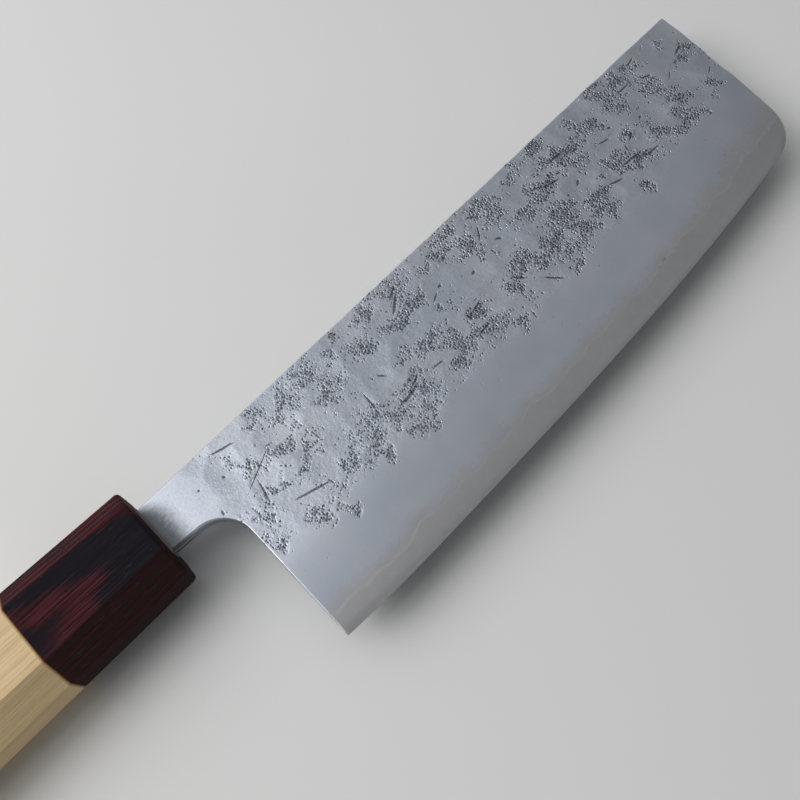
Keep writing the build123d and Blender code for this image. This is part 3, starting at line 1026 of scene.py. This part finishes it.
def ring_faces(count, around, closed):
    """Quads between each ring and the next, and from the last back to the first where the mesh is a
    closed tube. Rings go from y to z, seen from the front, and are listed from the back forwards
    outside."""
    index = np.arange(count * around).reshape(count, around)
    if closed:
        index = np.concatenate([index, index[:1]])
    turned = np.roll(index, -1, axis=1)
    corners = [index[:-1], turned[:-1], turned[1:], index[1:]]
    return np.stack(corners, axis=-1).reshape(-1, 4).tolist()


def cap_faces(first, around, pole, outwards):
    """Triangles from one ring to a pole vertex."""
    ring = np.arange(first, first + around)
    after = np.roll(ring, -1)
    order = (ring, after) if outwards else (after, ring)
    return np.stack([*order, np.full(around, pole)], axis=-1).tolist()


def ferrule():
    """Dark collar: outside from the joint to the chamfered front, then in through the mouth for the
    neck, and back along the dowel's bore to the joint."""
    bore = dowel_diameter / 2
    mouth_middle = (spine_height + neck_y) / 2
    mouth_size = (neck_height / 2 + glue_gap, neck_thickness / 2 + glue_gap)
    mouth = (*mouth_size, mouth_power, mouth_middle)
    stations = [(ferrule_length, joint_ease), (ferrule_length - joint_ease, 0)]
    plain = np.linspace(ferrule_length - 1.0, ferrule_chamfer + 0.6, ferrule_rings)
    stations += [(behind, 0) for behind in plain]
    bend = np.linspace(0, pi / 2, bend_steps)
    stations += [(ferrule_chamfer * (1 - sin(a)), ferrule_chamfer * (1 - cos(a))) for a in bend]
    rings = [octagon_ring(behind, inset) for behind, inset in stations]
    rings += [rings[-1] + (inner_ring(0, *mouth) - rings[-1]) * share for share in (0.3, 0.6, 0.85)]
    rings += [inner_ring(0, *mouth), inner_ring(ferrule_front_wall, *mouth)]
    rings += [inner_ring(behind, bore, bore, 2) for behind in (ferrule_front_wall, ferrule_length)]
    around = len(rings[0])
    vertices = on_home(np.concatenate(rings))
    faces = ring_faces(len(rings), around, closed=True)
    finish = ferrule_finish()
    new_piece("laminated_ferrule", vertices, faces, "ferrule_wood", finish, "ferrule")


def handle_body():
    """Pale handle: from the middle of the butt face over its chamfer, along the eight facets to the
    joint, and in through the dowel's bore to its bottom."""
    bore = dowel_diameter / 2
    bend = np.linspace(pi / 2, 0, bend_steps)
    butt_start = handle_length - butt_chamfer
    stations = [(butt_start + butt_chamfer * sin(a), butt_chamfer * (1 - cos(a))) for a in bend]
    plain = np.linspace(butt_start - 0.8, ferrule_length + 1.0, grip_rings)
    stations += [(behind, 0) for behind in plain]
    stations += [(ferrule_length + joint_ease, 0), (ferrule_length, joint_ease)]
    rings = [octagon_ring(behind, inset) for behind, inset in stations]
    butt = rings[0] * np.array((1, 0, 0))
    rings = [butt + (rings[0] - butt) * share for share in (0.25, 0.6)] + rings
    rings += [inner_ring(behind, bore, bore, 2) for behind in (ferrule_length, dowel_back)]
    around = len(rings[0])
    poles = np.array([(-handle_length, 0, 0), (-dowel_back, 0, 0)])
    vertices = on_home(np.concatenate([*rings, poles]))
    faces = ring_faces(len(rings), around, closed=False)
    faces += cap_faces(0, around, len(vertices) - 2, outwards=False)
    faces += cap_faces((len(rings) - 1) * around, around, len(vertices) - 1, outwards=True)
    finish = handle_finish()
    new_piece("pale_handle", vertices, faces, "handle_wood", finish, "handle_body")


def carried_nodes():
    """Finishes for the CAD pieces that stay: the dowel, the adhesive and the bead at the mouth."""
    finishes = {
        "dowel": dowel_finish(),
        "tang_adhesive": filler_finish("cured_adhesive", resin_dark, resin_pale, 0.35),
        "mouth_seal": filler_finish("mouth_filler", bead_dark, bead_pale, 0.45),
    }
    for name, finish in finishes.items():
        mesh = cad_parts[name].data
        mesh.materials.clear()
        mesh.materials.append(finish)


def surround():
    """World round the knife. Seen or mirrored it is pale at the horizon and dimmer overhead, and
    its light on other surfaces is even and dim."""
    world = bpy.data.worlds.new("studio")
    shading = Shading(world)
    height = shading.parts(shading.node("ShaderNodeTexCoord", result="Generated"))[2]
    tone = shading.mix(shading.step(height, 0.12, 0.72), pale_surround, overhead_grey)
    shown = shading.node("ShaderNodeBackground", sockets={"Color": tone, "Strength": 1.0})
    dim = shading.node("ShaderNodeBackground", sockets={"Color": sky_tint, "Strength": 0.16})
    surface = shading.node("ShaderNodeMixShader", sockets={0: shading.seen(), 1: dim, 2: shown})
    shading.node("ShaderNodeOutputWorld", sockets={"Surface": surface})
    bpy.context.scene.world = world


def studio():
    """Pale floor, a broad soft light over the handle's side, a dimmer one over the blade, a low one
    behind the spine and a small bright one behind the handle."""
    reach = 2.0
    corners = [(-reach, -reach, 0), (reach, -reach, 0), (reach, reach, 0), (-reach, reach, 0)]
    mesh = bpy.data.meshes.new("floor")
    mesh.from_pydata(corners, [], [(0, 1, 2, 3)])
    mesh.materials.append(floor_finish())
    floor = bpy.data.objects.new("floor", mesh)
    bpy.context.scene.collection.objects.link(floor)

    lamps = (
        ("overhead", (-1.17, 1.15, 1.15), (0, 0, 0), (2.5, 2.2), 1.45),
        ("ceiling", (0.62, 0.8, 1.15), (0, 0, 0), (1.1, 1.86), 0.34),
        ("behind_spine", (0.1, 1.9, 0.65), (radians(-90), 0, 0), (2.6, 1.1), 0.45),
        ("behind_handle", (-0.55, 0.42, 0.62), (radians(-30), radians(-37), 0), (0.5, 0.5), 3.6),
    )
    for name, place, turn, size, brightness in lamps:
        lamp = bpy.data.lights.new(name, "AREA")
        lamp.shape = "RECTANGLE"
        lamp.size, lamp.size_y = size
        lamp.energy = brightness * pi * size[0] * size[1]
        holder = bpy.data.objects.new(name, lamp)
        holder.location = place
        holder.rotation_euler = turn
        bpy.context.scene.collection.objects.link(holder)


def camera():
    """The photograph's viewpoint."""
    lens = bpy.data.cameras.new("camera")
    lens.lens = camera_lens
    lens.sensor_width = camera_sensor
    lens.clip_start = 0.005
    holder = bpy.data.objects.new("camera", lens)
    holder.location = [value * mm for value in camera_place]
    holder.rotation_euler = [radians(value) for value in camera_turn]
    bpy.context.scene.collection.objects.link(holder)
    bpy.context.scene.camera = holder


camera()
surround()
studio()
blade()
ferrule()
handle_body()
carried_nodes()
bpy.context.scene.view_settings.view_transform = "Standard"
